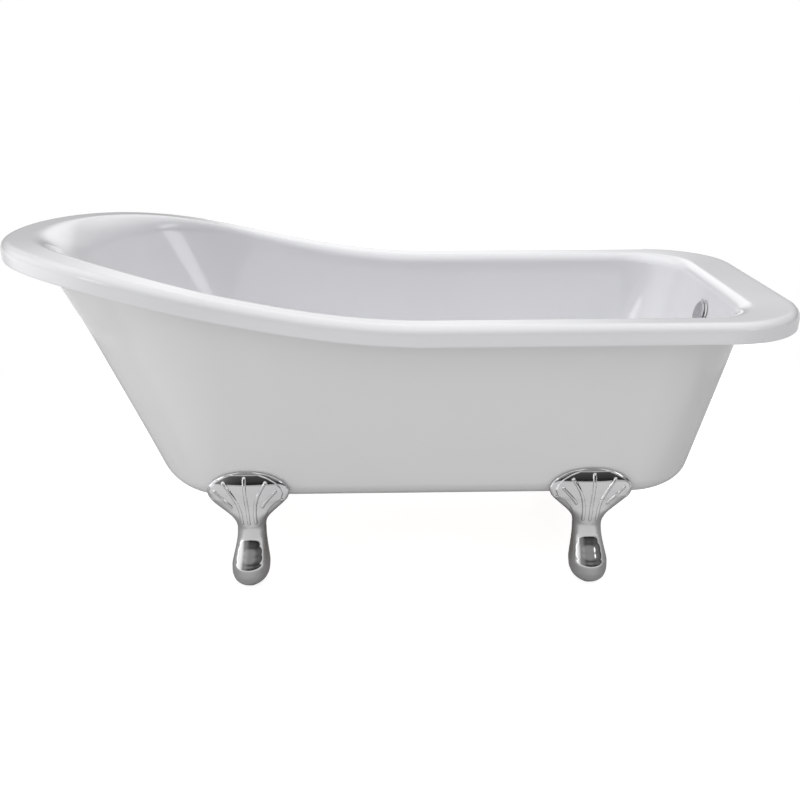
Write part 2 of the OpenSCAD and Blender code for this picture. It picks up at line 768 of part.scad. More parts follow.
outlet_r = 23.9;
outlet_low_z = 112;
lever_x = -14;
lever_z = 164;
lever_r = 3;
lever_bore = 3.05;
module waste_body() {
    color([0.9, 0.9, 0.88])
    at_waste()
    difference() {
        union() {
            rotate_extrude($fn = 96)
            polygon([[0, 140], [outlet_r, 140], [34, 148], [34, 208], [40, 214],
                [40, body_top_z], [0, body_top_z]]);
            translate([0, 0, outlet_low_z])
            cylinder(r = outlet_r, h = 32, $fn = 96);
            translate([26, 0, inlet_z])
            rotate([0, 90, 0])
            cylinder(r = 9, h = 32, $fn = 48);
            translate([lever_x, -26, lever_z])
            rotate([90, 0, 0])
            cylinder(r = 7, h = 16, $fn = 48);
            translate([14, -55, 144])
            cube([8, 30, 12]);
        }
        translate([0, 0, 152])
        cylinder(r = 30, h = 48, $fn = 96);
        translate([0, 0, 190])
        cylinder(r = tube_r + 0.2, h = 40, $fn = 96);
        translate([0, 0, outlet_low_z - 1])
        cylinder(r = 19, h = 60, $fn = 96);
        translate([24, 0, inlet_z])
        rotate([0, 90, 0])
        cylinder(r = 7, h = 60, $fn = 48);
        translate([lever_x, -10, lever_z])
        rotate([90, 0, 0])
        cylinder(r = lever_bore, h = 40, $fn = 48);
        translate([10, -50, 150])
        rotate([0, 90, 0])
        cylinder(r = 2.5, h = 20, $fn = 32);
    }
}

lift_travel = 8;
module plug_cap() {
    color([0.8, 0.8, 0.82])
    at_waste()
    difference() {
        rotate_extrude($fn = 96)
        polygon([[0, floor_z + 1.4], [29, floor_z + 1.4], [31.5, floor_z + 2.4],
            [31.5, floor_z + 3.4], [28, floor_z + 5.4], [18, floor_z + 6.6],
            [0, floor_z + 7.2]]);
        translate([0, 0, floor_z])
        cylinder(r = 2.6, h = 5, $fn = 32);
    }
}

module plug_seal() {
    color([0.12, 0.12, 0.12])
    at_waste()
    translate([0, 0, seat_z + 2.6])
    difference() {
        cylinder(r1 = 22.5, r2 = 25, h = 2.6, $fn = 96);
        translate([0, 0, -1])
        cylinder(r = 5, h = 5, $fn = 48);
    }
}

stem_low_z = 168.2;
module plug_stem() {
    color([0.72, 0.62, 0.35])
    at_waste() {
        translate([0, 0, stem_low_z])
        cylinder(r = stem_r, h = floor_z + 1.2 - stem_low_z, $fn = 48);
        translate([0, 0, floor_z + 1])
        cylinder(r = 2.5, h = 3.6, $fn = 32);
    }
}

module lift_lever() {
    color([0.72, 0.72, 0.74])
    at_waste()
    translate([lever_x, 0, lever_z]) {
        translate([0, 6, 0])
        rotate([90, 0, 0])
        cylinder(r = lever_r, h = 56, $fn = 48);
        translate([0, -4, -2.5])
        cube([17, 8, 5]);
        translate([-3, -50, -14])
        cube([6, 6, 16]);
    }
}

bath_shell();
outer_skin();
rim_bead();
base_board();
board_inserts();
leg_head_front();
leg_head_back();
leg_foot_front();
leg_foot_back();
leg_bolts();
leg_washers();
leveller_head_front();
leveller_head_back();
leveller_foot_front();
leveller_foot_back();
pad_head_front();
pad_head_back();
pad_foot_front();
pad_foot_back();
overflow_plate();
overflow_seal();
overflow_body();
overflow_knob();
overflow_spindle();
knob_screw();
overflow_hose();
hose_clips();
lift_cable();
waste_flange();
waste_seal_top();
waste_seal_bottom();
waste_body();
plug_cap();
plug_seal();
plug_stem();
lift_lever();
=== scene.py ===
"""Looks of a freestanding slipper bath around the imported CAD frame. Lengths in mm until make_mesh()."""
import bpy, bmesh, json, math
import numpy as np
from mathutils import Matrix, Vector


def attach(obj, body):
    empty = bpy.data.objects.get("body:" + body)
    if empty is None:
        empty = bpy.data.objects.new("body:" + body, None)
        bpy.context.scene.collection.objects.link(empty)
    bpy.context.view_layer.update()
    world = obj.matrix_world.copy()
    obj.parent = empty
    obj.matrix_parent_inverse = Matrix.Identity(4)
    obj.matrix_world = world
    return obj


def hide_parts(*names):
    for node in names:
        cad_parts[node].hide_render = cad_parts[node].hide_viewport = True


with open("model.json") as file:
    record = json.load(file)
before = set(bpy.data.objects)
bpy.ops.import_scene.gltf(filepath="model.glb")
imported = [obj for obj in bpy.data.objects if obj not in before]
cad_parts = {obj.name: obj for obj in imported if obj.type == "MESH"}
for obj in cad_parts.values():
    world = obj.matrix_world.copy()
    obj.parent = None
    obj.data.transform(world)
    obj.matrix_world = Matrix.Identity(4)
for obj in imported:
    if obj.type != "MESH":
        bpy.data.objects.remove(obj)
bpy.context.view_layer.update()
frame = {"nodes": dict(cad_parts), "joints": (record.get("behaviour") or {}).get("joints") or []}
scene = bpy.context.scene
MM = 0.001

# ---------------------------------------------------------------- outlines
HEAD_N, SIDE_N, CORNER_N, END_N = 132, 44, 60, 14
HALF_N = HEAD_N + SIDE_N + CORNER_N + END_N
RING_N = 2 * HALF_N
index = np.arange(RING_N)
half_index = np.where(index <= HALF_N, index, RING_N - index)
side_sign = np.where(index <= HALF_N, 1.0, -1.0)
on_head = half_index <= HEAD_N
on_side = ~on_head & (half_index <= HEAD_N + SIDE_N)
on_corner = ~on_head & ~on_side & (half_index <= HEAD_N + SIDE_N + CORNER_N)
head_t = np.clip(half_index / HEAD_N, 0, 1) * math.pi / 2
side_u = np.clip((half_index - HEAD_N) / SIDE_N, 0, 1)
corner_t = math.pi / 2 * (1 - np.clip((half_index - HEAD_N - SIDE_N) / CORNER_N, 0, 1))
end_u = np.clip((half_index - HEAD_N - SIDE_N - CORNER_N) / END_N, 0, 1)


def plan(shape):
    """Outline points (RING_N, 2).

    shape is head x, head length, power, half width, taper, foot x, corner radius and bow.
    """
    hx, ha, power, hw, taper, fx, r, bow = [np.broadcast_to(np.asarray(v, float), (RING_N,)) for v in shape]
    e = 2 / power
    h = hw - taper
    cos_t, sin_t = np.clip(np.cos(head_t), 0, 1), np.clip(np.sin(head_t), 0, 1)
    head_x, head_y = hx + ha * (1 - cos_t ** e), hw * sin_t ** e
    x1 = hx + ha
    straight_x, straight_y = x1 + (fx - r - x1) * side_u, hw - taper * side_u
    cy = h - r + r * np.sin(corner_t)
    corner_x = fx - r + r * np.cos(corner_t) + bow * (1 - (cy / h) ** 2)
    ey = (h - r) * (1 - end_u)
    end_x = fx + bow * (1 - (ey / h) ** 2)
    x = np.select([on_head, on_side, on_corner], [head_x, straight_x, corner_x], end_x)
    y = np.select([on_head, on_side, on_corner], [head_y, straight_y, cy], ey)
    return np.stack([x, y * side_sign], -1)


def inset(shape, d):
    hx, ha, power, hw, taper, fx, r, bow = shape
    return (hx + d, ha - d, power, hw - d, taper, fx - d, np.maximum(r - d, 14), bow)


def with_z(xy, z):
    return np.concatenate([xy, np.broadcast_to(np.asarray(z, float), (len(xy),))[:, None]], 1)


def mix(a, b, f):
    return a + (b - a) * f


# ---------------------------------------------------------------- rim and well
FOOT_RIM_Z, HEAD_RIM_Z = 615.0, 745.7
RISE_X, RISE_POWER = 100.7, 1.026
EDGE_R, SKIRT, WALL, FLAT_FALL = 18.0, 39.8, 6.0, 0.028
RIM = (-850, 495.3, 2.148, 375, 11.5, 850, 185.6, 0)
FLAT = (-790, 435, 2.148, 320, 9, 755, 112, 2)


def rim_height(x):
    t = np.clip((RISE_X - x) / (RISE_X + 850), 0, 1) ** RISE_POWER
    return FOOT_RIM_Z + (HEAD_RIM_Z - FOOT_RIM_Z) * (0.5 - 0.5 * np.cos(math.pi * t))


rim_plan = plan(RIM)
rim_top = rim_height(rim_plan[:, 0])
tangent = np.roll(rim_plan, -1, 0) - np.roll(rim_plan, 1, 0)
tangent /= np.linalg.norm(tangent, axis=1)[:, None]
rim_out = np.stack([-tangent[:, 1], tangent[:, 0]], -1)


def rim_ring(d, dz):
    return with_z(plan(inset(RIM, d)), rim_top + dz)


flat_plan = plan(FLAT)
flat_ring = with_z(flat_plan, rim_top - FLAT_FALL * (np.linalg.norm(flat_plan - rim_plan, axis=1) - EDGE_R))


def well_shape(z):
    d = 597.0 - z
    q = np.maximum(d, 0)
    return (-452 - 0.58 * (z - 245), 175 + 0.38 * (z - 245), 2.148, 299 - 0.15 * d, 8,
            729 - 0.1 * d - 0.0011 * q * q, 130 + 0.06 * d, 5)


head_weight = np.where(half_index < HEAD_N, np.clip(np.cos(head_t), 0, 1) ** 1.5, 0)
roll_drop = 22 + 40 * head_weight
roll_turn = np.radians(81 - 21 * head_weight)
wall_top_z = flat_ring[:, 2] - roll_drop
wall_top = plan(well_shape(wall_top_z))


def roll_ring(f, back=0.0):
    a = roll_turn * f
    h = (np.sin(a) / np.sin(roll_turn))[:, None]
    v = (1 - np.cos(a)) / (1 - np.cos(roll_turn))
    xy = flat_plan + (wall_top - flat_plan) * h + rim_out * (back * np.sin(a))[:, None]
    fall = FLAT_FALL * np.linalg.norm(xy - flat_plan, axis=1) * (1 - f)
    return with_z(xy, flat_ring[:, 2] - roll_drop * v - fall - back * np.cos(a))


WASTE = np.array([420.0, 0.0])
FLOOR_Z, FILLET_H, FILLET_V, BED_Z = 236.0, 70.0, 62.0, 224.3
FLOOR_FALL = 0.007
floor_edge = plan(inset(well_shape(FLOOR_Z), FILLET_H))
floor_top = FLOOR_Z + FLOOR_FALL * np.linalg.norm(floor_edge - WASTE, axis=1)


def wall_ring(f, back=0.0):
    z = mix(wall_top_z, floor_top + FILLET_V, f)
    return with_z(plan(well_shape(z)) + rim_out * back, z)


def fillet_ring(a, back=False):
    z = floor_top + FILLET_V * (1 - math.sin(a))
    xy = plan(inset(well_shape(z), FILLET_H * (1 - math.cos(a))))
    if back:
        xy = xy + rim_out * WALL * math.cos(a)
        z = z - (floor_top - BED_Z) * math.sin(a)
    return with_z(xy, z)


# Radius and depth of the steps from the floor into the seat of the waste flange.
SEAT_STEPS = ((44.5, 0.3), (43, 1.4), (41, 3.4), (39.5, 4), (27, 4), (26.5, 4.5))


def waste_ring(r, z):
    d = floor_edge - WASTE
    return with_z(WASTE + d * (r / np.linalg.norm(d, axis=1))[:, None], z)


def lin(a, b, n):
    """n values after a, up to and including b."""
    return [a + (b - a) * (k + 1) / n for k in range(n)]


def shell_rings():
    rings = [rim_ring(1.2, -SKIRT), rim_ring(0.35, -SKIRT + 0.35), rim_ring(0, -SKIRT + 1.3)]
    rings += [rim_ring(0, dz) for dz in lin(-SKIRT + 3, -EDGE_R, 5)]
    rings += [rim_ring(EDGE_R * (1 - math.cos(a)), -EDGE_R * (1 - math.sin(a)))
              for a in lin(0, math.pi / 2, 14)]
    edge = rim_ring(EDGE_R, 0)
    rings += [mix(edge, flat_ring, f) for f in lin(0, 1, 8)]
    rings += [roll_ring(f) for f in lin(0, 1, 40)]
    rings += [wall_ring(f) for f in lin(0, 1, 44)]
    rings += [fillet_ring(a) for a in lin(0, math.pi / 2, 20)]
    inner = waste_ring(46, FLOOR_Z)
    rings += [mix(rings[-1], inner, f) for f in lin(0, 1, 12)]
    rings += [waste_ring(r, FLOOR_Z - depth) for r, depth in SEAT_STEPS]
    bed, under = waste_ring(SEAT_STEPS[-1][0], BED_Z), fillet_ring(math.pi / 2, True)
    rings += [bed, mix(bed, under, 0.5), under]
    rings += [fillet_ring(math.radians(a), True) for a in (72, 54, 36, 18)]
    rings += [wall_ring(f, WALL) for f in (1, 0.8, 0.6, 0.4, 0.2)]
    rings += [roll_ring(f, WALL) for f in (1, 0.8, 0.6, 0.4, 0.2, 0)]
    r = EDGE_R - WALL
    rings += [rim_ring(EDGE_R, -WALL)]
    rings += [rim_ring(WALL + r * (1 - math.cos(a)), -EDGE_R + r * math.sin(a)) for a in (1.2, 0.8, 0.4)]
    rings += [rim_ring(WALL, -EDGE_R), rim_ring(WALL, -SKIRT)]
    return rings


# ---------------------------------------------------------------- outer skin
SKIN_Z, SKIN_R, SKIN_WALL = 200.3, 42.8, 5.0
SKIN_HALF_W, SKIN_TAPER = 285.9, 11.5
FLANGE_LOW, FLANGE_HIGH, FLANGE_INSET, FLANGE_FLAT = -37.0, -32.0, 7.6, 16.0
LIP_INSET = SKIN_R + 15


def skin_shape(z):
    h = z - SKIN_Z
    w = np.clip(h / 380, 0, 1)
    return (-533.3 - 0.444 * h, 174.7 + 195 * w, 2.1, SKIN_HALF_W + 0.15 * h, SKIN_TAPER,
            644 + 0.254 * h, 123.5 + 76.5 * w, 26)


def side_ring(f, t, dz):
    z = mix(SKIN_Z + SKIN_R, rim_top + dz, f)
    return with_z(plan(inset(skin_shape(z), t)), z)


def bottom_ring(a, t):
    r = SKIN_R - t
    z = SKIN_Z + t + r * (1 - math.cos(a))
    return with_z(plan(inset(skin_shape(z), t + r * (1 - math.sin(a)))), z)


def lip_ring(t):
    return with_z(plan(inset(skin_shape(SKIN_Z), LIP_INSET)), SKIN_Z + t)


def skin_rings():
    rings = [lip_ring(0.6)] + [mix(lip_ring(0), bottom_ring(0, 0), f) for f in (0.03, 0.5, 1)]
    rings += [bottom_ring(a, 0) for a in lin(0, math.pi / 2, 18)]
    rings += [side_ring(f, 0, FLANGE_LOW - 6) for f in lin(0, 1, 40)]
    neck = side_ring(1, 0, FLANGE_LOW - 6)
    top = side_ring(1, 0, FLANGE_LOW)
    flat = rim_ring(FLANGE_FLAT, FLANGE_LOW)
    rings += [mix(neck, top, 0.6), mix(top, flat, 0.2), mix(top, flat, 0.5), flat]
    rings += [rim_ring(FLANGE_INSET, FLANGE_LOW), rim_ring(FLANGE_INSET, FLANGE_HIGH),
              rim_ring(FLANGE_FLAT, FLANGE_HIGH)]
    rings += [side_ring(f, SKIN_WALL, FLANGE_HIGH) for f in (1, 0.75, 0.5, 0.25, 0)]
    rings += [bottom_ring(math.radians(a), SKIN_WALL) for a in (65, 40, 20, 0)]
    rings += [lip_ring(SKIN_WALL)]
    return rings


# Section of the bead: distance in from the skirt's inner face, and height above the flange.
BEAD = ((0.2, 1.5), (7, 1.5), (6.6, 3.2), (4, 6), (1.4, 7.6), (0.2, 9))


def bead_rings():
    return [rim_ring(WALL + d, FLANGE_HIGH + h) for d, h in BEAD]


# ---------------------------------------------------------------- meshes
def make_mesh(name, verts, faces, material, body, sharp_deg=40.0):
    mesh = bpy.data.meshes.new(name)
    mesh.from_pydata([tuple(v) for v in np.asarray(verts, float) * MM], [], faces)
    bm = bmesh.new()
    bm.from_mesh(mesh)
    bmesh.ops.remove_doubles(bm, verts=bm.verts, dist=1e-6)
    bmesh.ops.recalc_face_normals(bm, faces=bm.faces)
    limit = math.radians(sharp_deg)
    for e in bm.edges:
        e.smooth = not (len(e.link_faces) == 2 and e.calc_face_angle(0.0) > limit)
    for f in bm.faces:
        f.smooth = True
    bm.to_mesh(mesh)
    bm.free()
    obj = bpy.data.objects.new(name, mesh)
    scene.collection.objects.link(obj)
    mesh.materials.append(material)
    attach(obj, body)
    return obj


def ring_faces(m, n, closed):
    faces = []
    for j in range(m if closed else m - 1):
        k = (j + 1) % m
        faces += [(j * n + i, j * n + (i + 1) % n, k * n + (i + 1) % n, k * n + i) for i in range(n)]
    return faces


def ring_object(name, rings, material, body, closed=True, sharp_deg=40.0):
    n, m = len(rings[0]), len(rings)
    faces = ring_faces(m, n, closed)
    if not closed:
        faces += [tuple(range(n)), tuple((m - 1) * n + i for i in range(n))]
    return make_mesh(name, np.concatenate(rings), faces, material, body, sharp_deg)


# ---------------------------------------------------------------- materials
def new_material(name):
    mat = bpy.data.materials.new(name)
    mat.use_nodes = True
    nodes = mat.node_tree.nodes
    return mat, nodes, mat.node_tree.links, nodes["Principled BSDF"]


def noise(nodes, links, coord, scale, detail=3.0, rough=0.5):
    n = nodes.new("ShaderNodeTexNoise")
    n.inputs["Scale"].default_value = scale
    n.inputs["Detail"].default_value = detail
    n.inputs["Roughness"].default_value = rough
    links.new(coord.outputs["Object"], n.inputs["Vector"])
    return n


def ramp(nodes, links, source, stops):
    r = nodes.new("ShaderNodeValToRGB")
    r.color_ramp.elements[0].position, r.color_ramp.elements[0].color = stops[0][0], (*stops[0][1], 1)
    r.color_ramp.elements[1].position, r.color_ramp.elements[1].color = stops[-1][0], (*stops[-1][1], 1)
    for pos, col in stops[1:-1]:
        r.color_ramp.elements.new(pos).color = (*col, 1)
    links.new(source, r.inputs["Fac"])
    return r


def remap(nodes, links, source, low, high):
    m = nodes.new("ShaderNodeMapRange")
    m.inputs["From Min"].default_value = 0.3
    m.inputs["From Max"].default_value = 0.7
    m.inputs["To Min"].default_value = low
    m.inputs["To Max"].default_value = high
    links.new(source, m.inputs["Value"])
    return m


def bump(nodes, links, source, strength, distance, chain=None):
    b = nodes.new("ShaderNodeBump")
    b.inputs["Strength"].default_value = strength
    b.inputs["Distance"].default_value = distance
    links.new(source, b.inputs["Height"])
    if chain:
        links.new(chain.outputs["Normal"], b.inputs["Normal"])
    return b


def surface(name, light, dark, tone_scale, rough, rough_scale, bumps, metallic=0.0, coat=0.0, coat_rough=0.03,
            ior=1.5, tone_detail=3.0):
    """Principled surface whose tone, roughness and relief each follow their own noise."""
    mat, nodes, links, bsdf = new_material(name)
    coord = nodes.new("ShaderNodeTexCoord")
    tone = noise(nodes, links, coord, tone_scale, tone_detail)
    col = ramp(nodes, links, tone.outputs["Fac"], [(0.32, dark), (0.68, light)])
    links.new(col.outputs["Color"], bsdf.inputs["Base Color"])
    gloss = noise(nodes, links, coord, rough_scale, 4.0)
    links.new(remap(nodes, links, gloss.outputs["Fac"], *rough).outputs["Result"], bsdf.inputs["Roughness"])
    chain = None
    for scale, strength, distance in bumps:
        relief = noise(nodes, links, coord, scale, 2.0)
        chain = bump(nodes, links, relief.outputs["Fac"], strength, distance, chain)
    if chain:
        links.new(chain.outputs["Normal"], bsdf.inputs["Normal"])
    bsdf.inputs["Metallic"].default_value = metallic
    bsdf.inputs["IOR"].default_value = ior
    bsdf.inputs["Coat Weight"].default_value = coat
    bsdf.inputs["Coat Roughness"].default_value = coat_rough
    return mat


# Each surface: light tone, dark tone, tone scale, roughness range, roughness scale, then bumps as
# (scale, strength, depth in metres). The shell is a touch bluer than the skin.
acrylic_shell = surface("acrylic_shell_gloss", (0.82, 0.822, 0.845), (0.80, 0.803, 0.826), 3.0, (0.07, 0.12),
                        9.0, [(2.6, 0.2, 0.0008), (60.0, 0.02, 0.0001)], coat=0.5, ior=1.49)
acrylic_skin = surface("acrylic_skin_gloss", (0.80, 0.80, 0.803), (0.78, 0.78, 0.784), 2.4, (0.08, 0.14), 8.0,
                       [(2.2, 0.2, 0.0008), (60.0, 0.02, 0.0001)], coat=0.5, ior=1.49)
chrome_cast = surface("chrome_casting", (0.66, 0.66, 0.665), (0.62, 0.622, 0.63), 14.0, (0.03, 0.075), 40.0,
                      [(16.0, 0.25, 0.0006), (420.0, 0.04, 0.00008)], metallic=1.0)
chrome = surface("chrome_polish", (0.68, 0.68, 0.685), (0.64, 0.642, 0.65), 30.0, (0.025, 0.06), 90.0,
                 [(600.0, 0.03, 0.00005)], metallic=1.0)
# The knob face is a darker copy of the polished chrome: painted dark reflection, standing in for the dark
# room the knob mirrors.
knob_chrome_painted_dark = surface("chrome_knob_painted_reflection", (0.57, 0.57, 0.575), (0.54, 0.542, 0.55), 30.0, (0.025, 0.06), 90.0,
                      [(600.0, 0.03, 0.00005)], metallic=1.0)
steel = surface("zinc_plate", (0.66, 0.66, 0.65), (0.50, 0.51, 0.52), 70.0, (0.28, 0.48), 160.0,
                [(500.0, 0.15, 0.0001)], metallic=1.0)
brass = surface("turned_brass", (0.76, 0.58, 0.27), (0.60, 0.44, 0.19), 60.0, (0.2, 0.38), 150.0,
                [(450.0, 0.12, 0.0001)], metallic=1.0)
rubber = surface("moulded_rubber", (0.045, 0.045, 0.047), (0.025, 0.025, 0.027), 60.0, (0.55, 0.8), 120.0,
                 [(700.0, 0.3, 0.0002)])
duct_plastic = surface("moulded_plastic", (0.74, 0.735, 0.70), (0.68, 0.675, 0.65), 20.0, (0.32, 0.5), 60.0,
                       [(800.0, 0.15, 0.0001)])
hose_plastic = surface("ribbed_hose", (0.50, 0.51, 0.52), (0.40, 0.41, 0.42), 40.0, (0.3, 0.5), 90.0,
                       [(500.0, 0.15, 0.0001)])
sheath = surface("cable_sheath", (0.03, 0.03, 0.032), (0.018, 0.018, 0.02), 80.0, (0.4, 0.6), 200.0,
                 [(900.0, 0.2, 0.0001)])
adhesive = surface("cured_adhesive", (0.72, 0.715, 0.69), (0.62, 0.615, 0.58), 30.0, (0.4, 0.6), 60.0,
                   [(90.0, 0.4, 0.0006)])


def board_material():
    """Resin-coated chipboard: pressed flakes under a thin clear coat."""
    mat, nodes, links, bsdf = new_material("coated_board")
    coord = nodes.new("ShaderNodeTexCoord")
    stretch = nodes.new("ShaderNodeMapping")
    stretch.inputs["Scale"].default_value = (90.0, 150.0, 60.0)
    links.new(coord.outputs["Object"], stretch.inputs["Vector"])
    flakes = nodes.new("ShaderNodeTexVoronoi")
    flakes.inputs["Scale"].default_value = 1.0
    links.new(stretch.outputs["Vector"], flakes.inputs["Vector"])
    col = ramp(nodes, links, flakes.outputs["Distance"],
               [(0.0, (0.50, 0.36, 0.21)), (0.4, (0.60, 0.46, 0.29)), (0.9, (0.36, 0.25, 0.14))])
    links.new(col.outputs["Color"], bsdf.inputs["Base Color"])
    gloss = noise(nodes, links, coord, 25.0, 4.0)
    rough = remap(nodes, links, gloss.outputs["Fac"], 0.35, 0.6)
    links.new(rough.outputs["Result"], bsdf.inputs["Roughness"])
    relief = bump(nodes, links, flakes.outputs["Distance"], 0.3, 0.0005)
    links.new(relief.outputs["Normal"], bsdf.inputs["Normal"])
    bsdf.inputs["Coat Weight"].default_value = 0.4
    bsdf.inputs["Coat Roughness"].default_value = 0.2
    return mat


board = board_material()


# ---------------------------------------------------------------- bath body
shell = ring_object("shell_moulding", shell_rings(), acrylic_shell, "tub", sharp_deg=50)
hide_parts("bath_shell")
skin = ring_object("skin_moulding", skin_rings(), acrylic_skin, "tub", sharp_deg=50)
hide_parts("outer_skin")
bead = ring_object("bonding_bead", bead_rings(), adhesive, "tub")
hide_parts("rim_bead")

# Overflow hole through the end wall of the shell, in metres.
HOLE_R, CUT_DEPTH = 0.02, 0.05
knob_joint = next(j for j in frame["joints"] if j["name"] == "knob_turn")
axis = Vector(knob_joint["axis"]).normalized()
hub = Vector(knob_joint["pos_m"])
bm = bmesh.new()
bmesh.ops.create_cone(bm, cap_ends=True, segments=64, radius1=HOLE_R, radius2=HOLE_R, depth=CUT_DEPTH)
along_axis = axis.to_track_quat("Z", "Y").to_matrix().to_4x4()
bmesh.ops.transform(bm, matrix=Matrix.Translation(hub) @ along_axis, verts=bm.verts)
cutter_mesh = bpy.data.meshes.new("overflow_cutter")
bm.to_mesh(cutter_mesh)
bm.free()
cutter = bpy.data.objects.new("overflow_cutter", cutter_mesh)
scene.collection.objects.link(cutter)
cut = shell.modifiers.new("overflow_hole", "BOOLEAN")
cut.operation, cut.object, cut.solver = "DIFFERENCE", cutter, "EXACT"
bpy.context.view_layer.objects.active = shell
bpy.context.view_layer.update()
cut_mesh = bpy.data.meshes.new_from_object(shell.evaluated_get(bpy.context.evaluated_depsgraph_get()))
shell.modifiers.clear()
shell.data = cut_mesh
bpy.data.objects.remove(cutter)

# ---------------------------------------------------------------- feet
# z, half width, middle, edge thickness, front bulge, back bulge
PROFILE = np.array([
    [8, 20, 8, 0, 26, 24], [13, 30, 8, 0, 34, 31], [23, 37.5, 8, 0, 42, 37], [38, 41.5, 8, 0, 46, 40],
    [54, 42, 8, 0, 46, 42], [68, 40, 6, 0, 43, 40], [84, 37, 3, 0, 38, 37], [102, 34, 0, 0, 32, 34],
    [122, 31.8, -2, 0, 27, 31], [140, 31.4, -3, 0, 26, 29], [155, 34, -2, 1, 25, 26], [168, 41, 0, 2, 23, 22],
    [180, 51, 2, 4, 19, 16], [193, 64, 4, 5, 15, 9], [206, 77, 4.6, 6, 14, 4], [218, 86, 4.8, 7, 14.1, 1],
    [230, 89, 5.4, 7, 14.1, 0], [244, 84, 7.3, 6, 12.7, 0], [250, 79.5, 8.4, 5.8, 11.2, 0],
    [256, 73.5, 9.3, 5.5, 9.2, 0], [266, 58, 10.8, 4.6, 5.6, 0], [273, 41, 11.9, 4, 2.7, 0],
    [278, 16, 12.7, 2.5, 1, 0]])
LEG_X = {"head": -307.0, "foot": 431.0}
TOE_SWEEP = 9.0
FRONT_N, BACK_N, LEVELS = 260, 28, 270


def smooth_profile(z):
    """Cubic through the profile rows, with slopes limited so that nothing overshoots."""
    zs, out = PROFILE[:, 0], [z]
    k = np.clip(np.searchsorted(zs, z, side="right") - 1, 0, len(zs) - 2)
    step = zs[k + 1] - zs[k]
    t = (z - zs[k]) / step
    for c in range(1, PROFILE.shape[1]):
        v = PROFILE[:, c]
        d = np.diff(v) / np.diff(zs)
        same_way = d[:-1] * d[1:] > 0
        inner = np.where(same_way, 2 * d[:-1] * d[1:] / (d[:-1] + d[1:] + 1e-12), 0)
        m = np.concatenate([[d[0]], inner, [d[-1]]])
        out.append((2 * t**3 - 3 * t**2 + 1) * v[k] + (t**3 - 2 * t**2 + t) * step * m[k]
                   + (-2 * t**3 + 3 * t**2) * v[k + 1] + (t**3 - t**2) * step * m[k + 1])
    return out


def smoothstep(a, b, x):
    t = np.clip((x - a) / (b - a), 0, 1)
    return t * t * (3 - 2 * t)


def foot_relief(u, z, turn):
    """Outward relief of the raised fan panel and its ribs at side position u and height z."""
    shift = 4.0 * turn * smoothstep(150, 250, z)
    s = u - shift
    low = 33 * np.sqrt(np.clip(1 - ((167 - z) / 21) ** 2, 0, 1))
    side = np.interp(z, [167, 188, 203, 216, 230, 244, 256, 266, 273], [33, 43, 56, 74, 80, 75, 64, 48, 30])
    half = np.where(z < 167, np.where(z > 146, low, -10), side)
    half = np.where(z > 273, -10, half)
    panel = 2.4 * smoothstep(-1.2, 1.2, half - np.abs(s))
    rib = np.zeros_like(s)
    zc = np.clip(z, 160, 266)
    rib = np.maximum(rib, 3.0 * rib_section(s, z - zc, 3.6))
    for sgn in (-1, 1):
        zc = np.clip(z, 160, 256)
        line = sgn * (15 + 30 * np.clip((zc - 170) / 86, 0, 1) ** 2.2)
        rib = np.maximum(rib, 3.0 * rib_section(s - line, z - zc, 3.6))
        zc = np.clip(z, 201, 236)
        outer = sgn * (34 + 31 * np.clip((zc - 201) / 35, 0, 1) ** 1.15)
        rib = np.maximum(rib, 2.8 * rib_section(s - outer, z - zc, 3.8))
        rib = np.maximum(rib, 1.8 * rib_section(s - sgn * 78, z - 211, 6.0))
    return panel + rib


def rib_section(across, along, half):
    """Rounded rib, 1 on its spine and 0 from half a width and a bit outward."""
    d = np.sqrt(across**2 + along**2) / half
    return np.sqrt(np.clip(1 - np.clip(d, 0, 1) ** 2.4, 0, 1)) * (1 - 0.15 * smoothstep(0.7, 1, d))


def skin_half_y(x, z):
    """Half width of the outer skin at x and height z, ahead of its foot corners."""
    hx, ha, power, hw, taper, fx, r, _ = skin_shape(z)
    x1 = hx + ha
    u = np.clip((x - x1) / (fx - r - x1), 0, 1)
    q = np.clip((x1 - x) / ha, 0, 1)
    return hw * (1 - q**power) ** (1 / power) - taper * u


def foot_rings(x, turn):
    zs = np.concatenate([8 + 6 * (np.linspace(0, 1, 10) ** 1.5), np.linspace(14, 278, LEVELS)[1:]])
    prof = smooth_profile(zs)
    rings = []
    front_t = math.pi * np.arange(FRONT_N + 1) / FRONT_N
    back_t = math.pi * np.arange(1, BACK_N) / BACK_N
    for z, w, mid, edge, front, back in zip(*prof):
        follow = np.clip((z - 180) / 30, 0, 1)
        sweep = TOE_SWEEP * turn * np.clip((135 - z) / 120, 0, 1) ** 1.2
        c, r = -np.cos(front_t), np.sin(front_t)
        u = w * c
        v = mid + edge + front * r + follow * (skin_half_y(x + u, z) - skin_half_y(x, z))
        v = v + foot_relief(u, z, turn) * smoothstep(0.02, 0.25, r)
        upper = with_z(np.stack([u + sweep, v], -1), z)
        c, r = np.cos(back_t), np.sin(back_t)
        v = mid - 0.05 - back * r + follow * (skin_half_y(x + w * c, z) - skin_half_y(x, z))
        lower = with_z(np.stack([w * c + sweep, v], -1), z)
        rings.append(np.concatenate([upper, lower]))
    return rings


def box_rings(x0, x1, y0, y1, z0, z1, r, bevel):
    """Rounded block as stacked rings."""
    rings = []
    for z, d in ((z0, bevel), (z0 + bevel * 0.3, bevel * 0.3), (z0 + bevel, 0), (z1 - bevel, 0),
                 (z1 - bevel * 0.3, bevel * 0.3), (z1, bevel)):
        pts = []
        corners = ((x1 - r, y1 - r, 0), (x0 + r, y1 - r, 90), (x0 + r, y0 + r, 180), (x1 - r, y0 + r, 270))
        for cx, cy, a0 in corners:
            for k in range(7):
                a = math.radians(a0 + 15 * k)
                pts.append((cx + (r - d) * math.cos(a), cy + (r - d) * math.sin(a)))
        rings.append(with_z(np.array(pts), z))
    return rings


